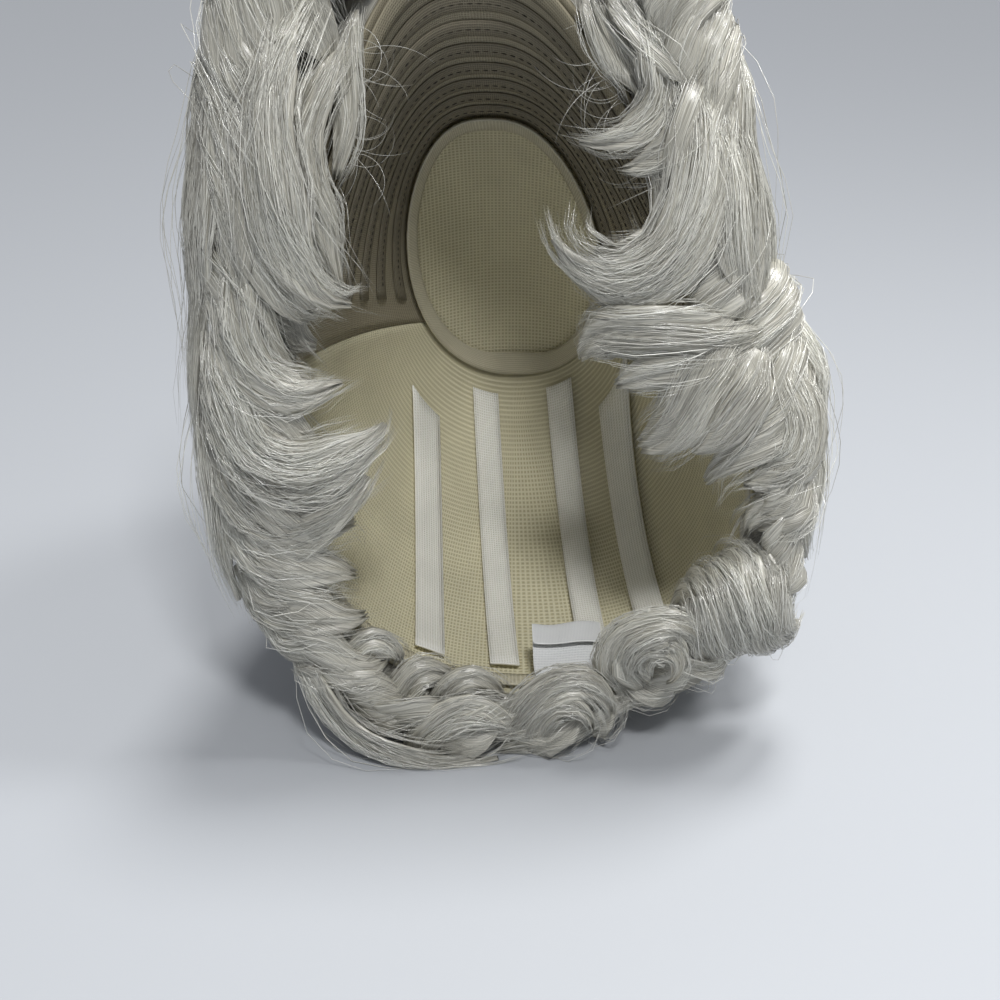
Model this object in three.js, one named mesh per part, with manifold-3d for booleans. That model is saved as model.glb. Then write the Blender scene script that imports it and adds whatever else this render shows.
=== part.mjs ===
// A short curly wig lying on the back of its head, with its open cap facing the viewer.
// Millimetres, +Z up. X runs across the head, Y from the open edge into the crown.

import * as THREE from "three";
import { mergeVertices } from "three/addons/utils/BufferGeometryUtils.js";
import Module from "manifold-3d";

const wasm = await Module();
wasm.setup();

// The cap, in its own frame: z from the nape up to the front edge, y into the crown.
const cap = {
  width: 140,      // ear to ear across the opening
  nape: -113,      // height of the nape edge
  front: 75,       // height of the front edge before it is pulled open
  depth: 122,      // opening to crown
  egg: 0.28,       // narrowing towards the front
  square: 0.8,     // below 1 makes the outline fuller at its corners
  lean: -0.1,      // sideways drift of the front
  flare: 42,       // how far the front edge is pulled open
  flareRun: 22,    // depth over which that dies away
  wall: 1.2,       // net and its backing
};

// The crown net is set in along a flat cut across the dome: its direction in y and z, and its distance.
const seam = { y: 0.856, z: 0.517, at: 86 };

// Heights above the cap's inner face, and the gap left between pieces.
const gap = 0.4;
const weftLayer = { low: -1.4, high: -0.7 };
const tapeLayer = { low: -2.6, high: -1.8 };

// Where the front panel ends and the back panel begins, in degrees from the nape, and the slit between them.
const temple = 96;
const templeSlit = 0.3;

const frontWefts = { rows: 8, first: 0.09, last: 0.9, wide: 6 };
const edgeTape = { wide: 7, inset: 0.6 };
const crownTape = { wide: 10 };

// Tapes down the back: mm from the middle at the nape and at the crown, and where each ends,
// as a share of the way up to the crown seam.
const tapeWide = 10;
const tapeFrom = 0.09;
const backTapes = [
  { foot: -38, head: -45, to: 0.8 },
  { foot: -12, head: -21, to: 0.92 },
  { foot: 20, head: 8, to: 0.93 },
  { foot: 42, head: 27, to: 0.82 },
];

// Plain label, folded once, sewn to the nape band. foot: mm from the edge. off: mm from the band.
// lift: degrees it stands off the cap. wave, waves: how its free end is bent.
const label = {
  at: 3, foot: 2, off: 1.5, wide: 23, tall: 20, fold: 1.7, thick: 0.7, lift: 38, wave: 1.3, waves: 7,
};

// How the wig lies: tipped back and sunk into its own hair, which is pressed into one mass underneath.
// press: share of the hair's depth by which that mass fills the dips. spread: degrees each side of the nape.
const lie = { tip: 8, lift: 129, forward: -30, press: 0.4, spread: 26 };

// Depth of the hair over the cap, at the edge and over the back of the head.
const hairDepth = [
  { at: -180, edge: 26, back: 24 },
  { at: -130, edge: 36, back: 26 },
  { at: -90, edge: 22, back: 25 },
  { at: -50, edge: 14, back: 27 },
  { at: 0, edge: 13, back: 38 },
  { at: 50, edge: 12, back: 27 },
  { at: 90, edge: 20, back: 25 },
  { at: 130, edge: 32, back: 26 },
  { at: 180, edge: 26, back: 24 },
];

// Locks that fold over the edge. root, over, fold, tip: degrees round the edge, from the head to the tip.
// out, reach: mm outside and inside the edge. rise: mm in front of it. hook: degrees the tip curls under.
const edgeLocks = [
  { root: 166, over: 172, fold: 184, tip: 190, out: 33, reach: 2, rise: 15, hook: 20, wide: 36 },
  { root: 180, over: 192, fold: 204, tip: 208, out: 36, reach: 2, rise: 16, hook: 20, wide: 36 },
  { root: 166, over: 160, fold: 152, tip: 148, out: 36, reach: 0, rise: 16, hook: 15, wide: 34 },
  { root: 160, over: 152, fold: 140, tip: 136, out: 44, reach: -4, rise: 20, hook: 10, wide: 34 },
  { root: 150, over: 142, fold: 127, tip: 122, out: 40, reach: 4, rise: 20, hook: 15, wide: 28 },
  { root: 146, over: 134, fold: 113, tip: 123, out: 31, reach: 38, rise: 24, hook: 30, wide: 24 },
  { root: 122, over: 114, fold: 102, tip: 99, out: 24, reach: 40, rise: 22, hook: 12, wide: 26 },
  { root: 112, over: 104, fold: 93, tip: 90, out: 28, reach: 36, rise: 20, hook: 20, wide: 26 },
  { root: 102, over: 94, fold: 80, tip: 76, out: 28, reach: 26, rise: 20, hook: 20, wide: 26 },
  { root: 90, over: 80, fold: 68, tip: 64, out: 24, reach: 8, rise: 18, hook: 25, wide: 26 },
  { root: 76, over: 67, fold: 57, tip: 52, out: 20, reach: 4, rise: 17, hook: 30, wide: 26 },
  { root: 64, over: 55, fold: 42, tip: 36, out: 16, reach: 10, rise: 20, hook: 40, wide: 28 },
  { root: 50, over: 42, fold: 28, tip: 20, out: 13, reach: 15, rise: 20, hook: 20, wide: 28 },
  { root: 36, over: 28, fold: 20, tip: 17, out: 13, reach: 11, rise: 19, hook: 5, wide: 28 },
  { root: 0, over: 8, fold: 16, tip: 18, out: 15, reach: 3, rise: 18, hook: 0, wide: 30 },
  { root: -18, over: -9, fold: 0, tip: 3, out: 18, reach: 0, rise: 17, hook: 0, wide: 32 },
  { root: -36, over: -23, fold: -10, tip: -5, out: 21, reach: -2, rise: 18, hook: 20, wide: 32 },
  { root: -46, over: -35, fold: -20, tip: -14, out: 21, reach: -2, rise: 18, hook: 25, wide: 32 },
  { root: -56, over: -46, fold: -33, tip: -27, out: 19, reach: 8, rise: 19, hook: 30, wide: 28 },
  { root: -68, over: -58, fold: -45, tip: -40, out: 19, reach: 15, rise: 20, hook: 30, wide: 26 },
  { root: -80, over: -70, fold: -57, tip: -50, out: 21, reach: 21, rise: 21, hook: 35, wide: 26 },
  { root: -94, over: -84, fold: -68, tip: -60, out: 25, reach: 30, rise: 23, hook: 45, wide: 26 },
  { root: -107, over: -97, fold: -80, tip: -72, out: 28, reach: 33, rise: 23, hook: 45, wide: 26 },
  { root: -122, over: -110, fold: -94, tip: -90, out: 32, reach: 17, rise: 21, hook: 30, wide: 26 },
  { root: -146, over: -132, fold: -105, tip: -110, out: 40, reach: 24, rise: 23, hook: 30, wide: 28 },
  { root: -152, over: -138, fold: -118, tip: -114, out: 44, reach: 4, rise: 20, hook: 20, wide: 30 },
  { root: -164, over: -150, fold: -130, tip: -126, out: 50, reach: 3, rise: 20, hook: 20, wide: 34 },
  { root: -176, over: -162, fold: -142, tip: -138, out: 48, reach: 3, rise: 18, hook: 20, wide: 36 },
];

// Their route: where a root sits on the head and where it bends, as a share of the way to the crown,
// with the height there as a share of out, and how far the tip draws in.
const edgeRoute = { rootAt: 0.4, rootHeight: 0.45, bend: 0.6, bendAt: 0.17, bendHeight: 0.82, tipSize: 0.8 };
const edgeTurns = [0, 45, 90, 135, 180];
const edgeSweep = { foldBy: 165, tipFrom: 140 }; // degrees of turn over which it sweeps along the edge

// Their section: facets, mm of thickness, and shares of the width and thickness along the lock.
const lockShape = {
  sides: 5, rings: 6, thin: 5, perHalf: 0.42, thickest: 15, root: 0.72, swell: 0.7, narrow: 0.78, flat: 0.7,
};

// Locks that fall round the head from the front to the table, in rows from the edge to the crown.
// first, last, sway: share of the way to the crown. step: degrees from one lock to the next below it.
// low: depth of the hair between the locks. stand: how far a lock stands above that, both as a share
// of the hair's depth. rootSide, tipSide: where along a half wave of height a lock starts and ends.
const fallingLocks = {
  rows: 6, first: 0.09, last: 0.74, sway: 0.02, swayTurns: 5, step: 36, low: 0.74, stand: 0.32,
  rootSide: 0.2, tipSide: 0.85,
};

// Hair sections, by the degrees they span from the nape, and the plane that parts off the crown.
const sections = [
  { name: "nape_hair", from: -50, to: 50 },
  { name: "right_hair", from: 50, to: 138 },
  { name: "front_hair", from: 138, to: 222 },
  { name: "left_hair", from: 222, to: 310 },
];
const crownPart = { up: new THREE.Vector3(0, 0.95, 0.31).normalize(), at: 84 };

const colours = {
  net: { color: 0xb3a784, roughness: 0.9, metalness: 0 },
  weft: { color: 0x8f866a, roughness: 0.85, metalness: 0 },
  tape: { color: 0xe4e3d8, roughness: 0.8, metalness: 0 },
  band: { color: 0xcfc9b2, roughness: 0.8, metalness: 0 },
  label: { color: 0xf0f1ef, roughness: 0.6, metalness: 0 },
  hair: { color: 0xdcd9d2, roughness: 0.45, metalness: 0 },
};

// How finely the pieces are faceted: round the front, the back and the crown seam, and along the others.
const facets = { front: 18, back: 20, seam: 28, crown: 5, tape: 9, label: 6 };
const nearPole = 0.985; // above this the cap's face points straight into the crown
const halvings = 24;    // steps when a place on the cap is searched for

const rad = THREE.MathUtils.degToRad;
const mix = THREE.MathUtils.lerp;
const middle = (cap.nape + cap.front) / 2;
const halfHeight = (cap.front - cap.nape) / 2;

// Inner face of the cap: degrees from the nape, and the share of the way to the crown.
function capPoint(theta, v) {
  const side = Math.sin(rad(theta));
  const up = -Math.cos(rad(theta));
  const across = Math.cos(v * Math.PI / 2);
  const deep = cap.depth * Math.sin(v * Math.PI / 2);
  const pulled = cap.flare * ((1 + up) / 2) ** 3 * Math.exp(-deep / cap.flareRun);
  const reachOut = Math.sign(side) * Math.abs(side) ** cap.square;
  const z = middle + halfHeight * up * across + pulled;
  const x = cap.width / 2 * (1 - cap.egg * up) * reachOut * across + cap.lean * z;
  return new THREE.Vector3(x, deep, z);
}

function capNormal(theta, v) {
  if (v > nearPole) {
    return new THREE.Vector3(0, 1, 0);
  }
  const round = capPoint(theta + 1, v).sub(capPoint(theta - 1, v));
  const inward = capPoint(theta, v + 0.01).sub(capPoint(theta, v - 0.01));
  return inward.cross(round).normalize();
}

function above(theta, v, height) {
  return capPoint(theta, v).addScaledVector(capNormal(theta, v), height);
}

// Share of the way to the crown at which the cap meets the seam's cut, by halving.
function crownSeam(theta) {
  let low = 0;
  let high = 1;
  for (let k = 0; k < halvings; k += 1) {
    const half = (low + high) / 2;
    const place = capPoint(theta, half);
    if (seam.y * place.y + seam.z * place.z > seam.at) {
      high = half;
    } else {
      low = half;
    }
  }
  return low;
}

// Length along the cap from the edge to the crown seam, in steps, and the place at a share of it.
const seamSteps = 24;

function seamLengths(theta) {
  const end = crownSeam(theta);
  const lengths = [0];
  for (let k = 1; k <= seamSteps; k += 1) {
    const here = capPoint(theta, end * k / seamSteps);
    const before = capPoint(theta, end * (k - 1) / seamSteps);
    lengths.push(lengths[k - 1] + here.distanceTo(before));
  }
  return lengths;
}

function atShare(theta, share) {
  const lengths = seamLengths(theta);
  const wanted = share * lengths[seamSteps];
  let k = 1;
  while (k < seamSteps && lengths[k] < wanted) {
    k += 1;
  }
  const part = (wanted - lengths[k - 1]) / (lengths[k] - lengths[k - 1]);
  return crownSeam(theta) * (k - 1 + part) / seamSteps;
}

function shareOf(theta, mm) {
  return mm / seamLengths(theta)[seamSteps];
}

function stations(from, to, steps) {
  return Array.from({ length: steps + 1 }, (_, k) => mix(from, to, k / steps));
}

// Closed skin between two grids of points. A ring joins its ends, a pole closes its last row.
function closedSkin(outer, inner, { ring = false, pole = false } = {}) {
  const columns = outer.length;
  const rows = outer[0].length;
  const points = [];
  const index = [];
  const seen = new Map();
  function id(grid, i, j) {
    const column = ring ? i % columns : i;
    const atPole = pole && j === rows - 1;
    const key = `${grid === outer ? "o" : "i"}${atPole ? "pole" : column}:${j}`;
    if (!seen.has(key)) {
      seen.set(key, points.length);
      points.push(grid[column][j]);
    }
    return seen.get(key);
  }
  function quad(a, b, c, d) {
    [[a, b, c], [a, c, d]].forEach((tri) => {
      if (new Set(tri).size === 3) {
        index.push(...tri);
      }
    });
  }
  const last = ring ? columns : columns - 1;
  for (let i = 0; i < last; i += 1) {
    for (let j = 0; j < rows - 1; j += 1) {
      quad(id(outer, i, j), id(outer, i, j + 1), id(outer, i + 1, j + 1), id(outer, i + 1, j));
      quad(id(inner, i, j), id(inner, i + 1, j), id(inner, i + 1, j + 1), id(inner, i, j + 1));
    }
    quad(id(outer, i, 0), id(outer, i + 1, 0), id(inner, i + 1, 0), id(inner, i, 0));
    if (!pole) {
      const j = rows - 1;
      quad(id(outer, i, j), id(inner, i, j), id(inner, i + 1, j), id(outer, i + 1, j));
    }
  }
  if (!ring) {
    const i = columns - 1;
    for (let j = 0; j < rows - 1; j += 1) {
      quad(id(outer, 0, j), id(inner, 0, j), id(inner, 0, j + 1), id(outer, 0, j + 1));
      quad(id(outer, i, j), id(outer, i, j + 1), id(inner, i, j + 1), id(inner, i, j));
    }
  }
  return indexed(points, index);
}

function indexed(points, index) {
  const geometry = new THREE.BufferGeometry().setFromPoints(points);
  geometry.setIndex(index);
  return geometry;
}

// A piece of the cap between two heights, from one share of the way to the seam to another.
function capPiece(thetas, shares, low, high, options) {
  const grid = (height) => thetas.map((theta) => shares.map((share) => (
    above(theta, atShare(theta, typeof share === "function" ? share(theta) : share), height)
  )));
  return closedSkin(grid(high), grid(low), options);
}

const facetTolerance = 0.6; // mm within which the hair's flat facets are joined

function toSolid(geometry) {
  const merged = mergeVertices(geometry, 1e-4);
  const mesh = new wasm.Mesh({
    numProp: 3,
    vertProperties: new Float32Array(merged.attributes.position.array),
    triVerts: new Uint32Array(merged.index.array),
  });
  return new wasm.Manifold(mesh).setTolerance(facetTolerance);
}

function toGeometry(solid) {
  const mesh = solid.getMesh();
  const geometry = new THREE.BufferGeometry();
  geometry.setAttribute("position", new THREE.BufferAttribute(new Float32Array(mesh.vertProperties), 3));
  geometry.setIndex(Array.from(mesh.triVerts));
  return geometry;
}

const wig = new THREE.Group();

function addPiece(name, geometry, colour) {
  const piece = new THREE.Mesh(geometry, new THREE.MeshStandardMaterial(colour));
  piece.name = name;
  piece.rotation.x = -rad(lie.tip);
  piece.position.set(0, lie.forward, lie.lift);
  wig.add(piece);
}

// Net panels.
const roundFront = stations(temple + templeSlit, 360 - temple - templeSlit, facets.front);
const roundBack = stations(-temple, temple, facets.back);
const seamEnd = (theta) => 1 - shareOf(theta, gap);
const frontRows = [0, 0.06, 0.13, 0.22, 0.34, 0.48, 0.62, 0.75, 0.87, seamEnd];
const backRows = [0, 0.15, 0.3, 0.45, 0.6, 0.8, seamEnd];
addPiece("front_panel", capPiece(roundFront, frontRows, 0, cap.wall), colours.net);
addPiece("back_panel", capPiece(roundBack, backRows, 0, cap.wall), colours.net);

function dome(low, high, around, rows, start) {
  const thetas = stations(0, 360, around).slice(0, around);
  const grid = (height) => thetas.map((theta) => stations(start(theta), 1, rows).map((v) => (
    above(theta, v, height)
  )));
  return closedSkin(grid(high), grid(low), { ring: true, pole: true });
}

addPiece("crown_net", dome(0, cap.wall, facets.seam, facets.crown, crownSeam), colours.net);

// Wefts: narrow strips in rows across the front panel.
stations(frontWefts.first, frontWefts.last, frontWefts.rows - 1).forEach((share, k) => {
  const lower = (theta) => share - shareOf(theta, frontWefts.wide / 2);
  const upper = (theta) => share + shareOf(theta, frontWefts.wide / 2);
  const strip = capPiece(roundFront.slice(1, -1), [lower, upper], weftLayer.low, weftLayer.high);
  addPiece(`front_weft_${k + 1}`, strip, colours.weft);
});

// Edge tapes, the crown tape over the seam, and the tapes down the back.
const tapeStart = (theta) => shareOf(theta, edgeTape.inset);
const tapeEnd = (theta) => shareOf(theta, edgeTape.inset + edgeTape.wide);
addPiece("front_band",
  capPiece(roundFront, [tapeStart, tapeEnd], tapeLayer.low, tapeLayer.high), colours.band);
addPiece("nape_band",
  capPiece(roundBack, [tapeStart, tapeEnd], tapeLayer.low, tapeLayer.high), colours.band);

function seamRing(wide) {
  const thetas = stations(0, 360, facets.seam).slice(0, facets.seam);
  const grid = (height) => thetas.map((theta) => {
    const half = wide / 2 * crownSeam(theta) / seamLengths(theta)[seamSteps];
    return [crownSeam(theta) - half, crownSeam(theta) + half].map((v) => above(theta, v, height));
  });
  return closedSkin(grid(tapeLayer.high), grid(tapeLayer.low), { ring: true });
}

addPiece("crown_band", seamRing(crownTape.wide), colours.band);

// Degrees from the nape at which the cap is a given distance from its middle, part of the way up.
function thetaAcross(x, share) {
  let theta = x;
  for (let k = 0; k < halvings; k += 1) {
    theta += (x - capPoint(theta, atShare(theta, share)).x + cap.lean * cap.nape) / 2;
  }
  return theta;
}

function backTape(tape) {
  const shares = stations(tapeFrom, tape.to, facets.tape);
  const grid = (height) => [-0.5, 0.5].map((side) => shares.map((share) => {
    const theta = thetaAcross(mix(tape.foot, tape.head, share) + side * tapeWide, share);
    return above(theta, atShare(theta, share), height);
  }));
  return closedSkin(grid(tapeLayer.high), grid(tapeLayer.low));
}

backTapes.forEach((tape, k) => addPiece(`back_tape_${k + 1}`, backTape(tape), colours.tape));

// Label: a strip folded over at its top, standing off the nape band.
function foldedLabel() {
  const foot = above(label.at, atShare(label.at, shareOf(label.at, label.foot)), tapeLayer.low - label.off);
  const round = capPoint(label.at + 1, 0).sub(capPoint(label.at - 1, 0)).normalize();
  const inward = capNormal(label.at, 0).negate();
  const along = new THREE.Vector3().crossVectors(inward, round).normalize();
  const rise = along.clone().multiplyScalar(Math.cos(rad(label.lift)));
  rise.addScaledVector(inward, Math.sin(rad(label.lift)));
  const face = new THREE.Vector3().crossVectors(round, rise).normalize();
  const profile = [
    { up: 0, off: 0 },
    { up: 0.5, off: 0.2 },
    { up: 0.92, off: 0 },
    { up: 1, off: 0.5 },
    { up: 0.92, off: 1 },
    { up: 0.72, off: 1.3 },
    { up: 0.55, off: 1.8 },
  ];
  const turned = (k) => {
    const next = profile[Math.min(k + 1, profile.length - 1)];
    const last = profile[Math.max(k - 1, 0)];
    const run = (next.up - last.up) * label.tall;
    const shift = (next.off - last.off) * label.fold;
    return { up: -shift / Math.hypot(run, shift), off: run / Math.hypot(run, shift) };
  };
  const grid = (side) => stations(-0.5, 0.5, facets.label).map((across) => profile.map((row, k) => {
    const bow = label.wave * Math.sin(across * label.waves) * row.up;
    const point = foot.clone().addScaledVector(round, across * label.wide);
    point.addScaledVector(rise, row.up * label.tall + turned(k).up * side * label.thick / 2);
    return point.addScaledVector(face, row.off * label.fold + bow + turned(k).off * side * label.thick / 2);
  }));
  return closedSkin(grid(-1), grid(1));
}

function outwards(geometry) {
  const solid = toSolid(geometry);
  if (solid.volume() > 0) {
    return solid;
  }
  const flipped = geometry.clone();
  flipped.setIndex(Array.from(geometry.index.array).reverse());
  return toSolid(flipped);
}

addPiece("label", foldedLabel(), colours.label);

// Hair.
function fromNape(theta) {
  return ((theta + 180) % 360 + 360) % 360 - 180;
}

function depthAt(theta, v) {
  const turn = fromNape(theta);
  const k = hairDepth.findIndex((row) => row.at >= turn);
  const high = hairDepth[Math.max(k, 1)];
  const low = hairDepth[Math.max(k, 1) - 1];
  const part = THREE.MathUtils.smoothstep(turn, low.at, high.at);
  const edge = mix(low.edge, high.edge, part);
  const back = mix(low.back, high.back, part);
  return mix(edge, back, THREE.MathUtils.smoothstep(v, 0, 0.5));
}

// A lock of hair: an oval section carried along a curve, thinner towards its tip.
function lock(places, wide, thick, across) {
  const curve = new THREE.CatmullRomCurve3(places, false, "centripetal");
  const { sides, rings } = lockShape;
  let side = across.clone();
  const points = [];
  const index = [];
  for (let k = 0; k <= rings; k += 1) {
    const t = k / rings;
    const along = curve.getTangent(t);
    side = side.clone().addScaledVector(along, -side.dot(along)).normalize();
    const out = new THREE.Vector3().crossVectors(along, side);
    const full = Math.min(1, lockShape.root + lockShape.swell * t);
    const broad = wide / 2 * full * (1 - lockShape.narrow * t ** 3);
    const deep = thick / 2 * (1 - lockShape.flat * t ** 2);
    for (let j = 0; j < sides; j += 1) {
      const turn = j / sides * 2 * Math.PI;
      const point = curve.getPoint(t).addScaledVector(side, broad * Math.cos(turn));
      points.push(point.addScaledVector(out, deep * Math.sin(turn)));
    }
  }
  for (let k = 0; k < rings; k += 1) {
    for (let j = 0; j < sides; j += 1) {
      const a = k * sides + j;
      const b = k * sides + (j + 1) % sides;
      index.push(a, b, b + sides, a, b + sides, a + sides);
    }
  }
  for (let j = 1; j < sides - 1; j += 1) {
    index.push(0, j + 1, j);
    const tip = rings * sides;
    index.push(tip, tip + j, tip + j + 1);
  }
  return outwards(indexed(points, index));
}

function edgeOut(theta) {
  const round = capPoint(theta + 1, 0).sub(capPoint(theta - 1, 0));
  return new THREE.Vector3(round.z, 0, -round.x).normalize();
}

// Round the edge: up the outside of the head, over the edge in a half round, and under at the tip.
function edgeLock(row) {
  const centre = (row.out - row.reach) / 2;
  const half = (row.out + row.reach) / 2;
  const ease = THREE.MathUtils.smoothstep;
  const places = [
    above(row.root, edgeRoute.rootAt, row.out * edgeRoute.rootHeight),
    above(mix(row.root, row.over, edgeRoute.bend), edgeRoute.bendAt, row.out * edgeRoute.bendHeight),
  ];
  const turns = row.hook > 0 ? [...edgeTurns, 180 + row.hook] : edgeTurns;
  turns.forEach((turn) => {
    const swept = mix(row.over, row.fold, ease(turn, 0, edgeSweep.foldBy));
    const theta = swept + (row.tip - row.fold) * ease(turn, edgeSweep.tipFrom, 180 + Math.max(row.hook, 1));
    const size = turn > 180 ? edgeRoute.tipSize : 1;
    const place = capPoint(theta, 0);
    place.addScaledVector(edgeOut(theta), centre + half * size * Math.cos(rad(turn)));
    place.y -= row.rise * size * Math.sin(rad(turn));
    places.push(place);
  });
  const round = capPoint(row.root + 1, edgeRoute.rootAt).sub(capPoint(row.root - 1, edgeRoute.rootAt));
  const thick = Math.min(lockShape.thickest, lockShape.thin + half * lockShape.perHalf);
  return lock(places, row.wide, thick, round.normalize());
}

// Over the head: how far a falling lock stands above the hair between, as a share of its full stand.
function lockStand(theta, v) {
  const spacing = (fallingLocks.last - fallingLocks.first) / (fallingLocks.rows - 1);
  const swayed = v - fallingLocks.sway * Math.sin(rad(theta) * fallingLocks.swayTurns);
  const row = Math.round((swayed - fallingLocks.first) / spacing);
  const aside = (swayed - fallingLocks.first) / spacing - row;
  const fallen = (180 - Math.abs(fromNape(theta))) / fallingLocks.step + 0.5 * Math.abs(row % 2);
  const along = fallen - Math.floor(fallen);
  const swell = Math.sin(Math.PI * mix(fallingLocks.rootSide, fallingLocks.tipSide, along));
  return Math.cos(Math.PI * aside) * swell;
}

function hairHeight(theta, v) {
  const pressed = Math.exp(-((fromNape(theta) / lie.spread) ** 2));
  const stand = Math.max(fallingLocks.stand * lockStand(theta, v), lie.press * pressed);
  return depthAt(theta, v) * (fallingLocks.low + stand);
}

const headSteps = { around: 36, up: 16 };
const roundHead = stations(0, 360, headSteps.around).slice(0, headSteps.around);
const upHead = stations(0, 1, headSteps.up);
const backing = toSolid(closedSkin(
  roundHead.map((theta) => upHead.map((v) => above(theta, v, hairHeight(theta, v)))),
  roundHead.map((theta) => upHead.map((v) => above(theta, v, -gap))),
  { ring: true, pole: true },
));
// Room for the cap: mm inside and outside its inner face, and its start just in front of the edge.
const room = { inside: 6, outside: cap.wall + 1.4, around: 30, up: 8, start: -0.03 };
const capSpace = toSolid(dome(-room.inside, room.outside, room.around, room.up, () => room.start));

// The table, in the cap's own frame.
const tableUp = new THREE.Vector3(0, -Math.sin(rad(lie.tip)), Math.cos(rad(lie.tip)));

let hair = backing;
edgeLocks.forEach((row) => {
  hair = hair.add(edgeLock(row));
});
hair = hair.subtract(capSpace).trimByPlane(tableUp.toArray(), -lie.lift);

function biggest(solid) {
  return solid.decompose().sort((a, b) => b.volume() - a.volume())[0];
}

// Half space to one side of a plane through the middle of the head, at an angle from the nape.
function cutAt(solid, angle, sign) {
  const across = new THREE.Vector3(Math.cos(rad(angle)), 0, Math.sin(rad(angle))).multiplyScalar(sign);
  const offset = across.dot(new THREE.Vector3(0, 0, middle)) + gap / 2;
  return solid.trimByPlane(across.toArray(), offset);
}

const crown = hair.trimByPlane(crownPart.up.toArray(), crownPart.at + gap);
const below = hair.trimByPlane(crownPart.up.clone().negate().toArray(), -crownPart.at);
sections.forEach((section) => {
  const part = biggest(cutAt(cutAt(below, section.from, 1), section.to, -1));
  addPiece(section.name, toGeometry(part), colours.hair);
});
addPiece("crown_hair", toGeometry(biggest(crown)), colours.hair);

export default wig;
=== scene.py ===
import math
import bmesh
import bpy
import numpy as np
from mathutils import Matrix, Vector


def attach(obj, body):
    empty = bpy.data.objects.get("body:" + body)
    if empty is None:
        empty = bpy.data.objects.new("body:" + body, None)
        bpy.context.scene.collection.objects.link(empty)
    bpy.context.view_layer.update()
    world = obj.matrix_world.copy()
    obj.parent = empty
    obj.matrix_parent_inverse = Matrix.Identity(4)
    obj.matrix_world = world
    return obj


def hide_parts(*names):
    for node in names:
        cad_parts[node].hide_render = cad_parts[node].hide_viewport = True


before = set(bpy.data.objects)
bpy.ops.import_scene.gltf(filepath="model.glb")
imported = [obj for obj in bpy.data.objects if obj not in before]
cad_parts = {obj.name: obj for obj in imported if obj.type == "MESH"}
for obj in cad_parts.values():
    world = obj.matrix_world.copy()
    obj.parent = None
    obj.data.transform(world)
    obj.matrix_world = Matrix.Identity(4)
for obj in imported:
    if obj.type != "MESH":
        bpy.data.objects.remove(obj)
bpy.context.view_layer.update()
mm = 0.001
draw = np.random.default_rng(20)  # one seed, so that every run grows the same hair

# the cap, in mm in its own frame: z from nape to front, y into the crown
cap = {
    "width": 140, "nape": -113, "front": 75, "depth": 122, "egg": 0.28, "square": 0.8,
    "lean": -0.1, "flare": 42, "flareRun": 22, "wall": 1.2,
    "seamUp": (0.856, 0.517), "seamAt": 86,  # cut for the crown net: the way it faces, mm from the middle
    "frontSpan": (96.3, 263.7), "backSpan": (-96.0, 96.0),  # where the panels end, degrees from the nape
    "nearPole": 0.985,  # the last level where the normal is taken
}
lie = {"tip": 8, "lift": 129, "forward": -30}  # how it lies on the table: degrees and mm
capMiddle = (cap["nape"] + cap["front"]) / 2
capHalf = (cap["front"] - cap["nape"]) / 2


def ease(t):
    t = np.clip(t, 0, 1)
    return t * t * (3 - 2 * t)


def mix(a, b, t):
    return a + (b - a) * t


def unit(vectors):
    return vectors / np.maximum(np.linalg.norm(vectors, axis=-1, keepdims=True), 1e-9)


# theta: degrees from the nape, 90 on the right, 180 at the front. v: 0 at the edge, 1 at the crown
def capPoint(theta, v):
    theta, v = np.broadcast_arrays(np.asarray(theta, float), np.asarray(v, float))
    side, up = np.sin(np.radians(theta)), -np.cos(np.radians(theta))
    across, deep = np.cos(v * math.pi / 2), cap["depth"] * np.sin(v * math.pi / 2)
    pulled = cap["flare"] * ((1 + up) / 2) ** 3 * np.exp(-deep / cap["flareRun"])
    z = capMiddle + capHalf * up * across + pulled
    half = cap["width"] / 2 * (1 - cap["egg"] * up)
    x = half * np.sign(side) * np.abs(side) ** cap["square"] * across + cap["lean"] * z
    return np.stack([x, deep, z], -1)


def capNormal(theta, v):
    v = np.minimum(v, cap["nearPole"])
    around = capPoint(theta + 1, v) - capPoint(theta - 1, v)
    inward = capPoint(theta, v + 0.01) - capPoint(theta, v - 0.01)
    return unit(np.cross(inward, around))


def edgeOut(theta):
    around = capPoint(theta + 1, 0) - capPoint(theta - 1, 0)
    return unit(np.stack([around[..., 2], 0 * around[..., 0], -around[..., 0]], -1))


def above(theta, v, height):
    return capPoint(theta, v) + capNormal(theta, v) * np.asarray(height)[..., None]


# the crown net is set in along a flat cut across the dome: its level, found by halving
def crownSeam(theta):
    low, high = np.zeros(np.shape(theta)), np.ones(np.shape(theta))
    for _ in range(24):
        middle = (low + high) / 2
        place = capPoint(theta, middle)
        over = cap["seamUp"][0] * place[..., 1] + cap["seamUp"][1] * place[..., 2] > cap["seamAt"]
        low, high = np.where(over, low, middle), np.where(over, middle, high)
    return low


# levels from the edge to the crown seam and the mm to each
def seamLengths(theta):
    levels = crownSeam(theta)[..., None] * np.linspace(0, 1, 33)
    line = capPoint(theta[..., None], levels)
    steps = np.linalg.norm(np.diff(line, axis=-2), axis=-1)
    return levels, np.concatenate([np.zeros(theta.shape + (1,)), np.cumsum(steps, -1)], -1)


# the level at a share of the way to the crown seam, or at some mm
def levelAt(theta, share):
    levels, lengths = seamLengths(theta)
    rows = zip(share * lengths[:, -1], lengths, levels)
    return np.array([np.interp(wanted, length, level) for wanted, length, level in rows])


def levelAtMm(theta, distance):
    return levelAt(theta, distance / seamLengths(theta)[1][:, -1])


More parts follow.
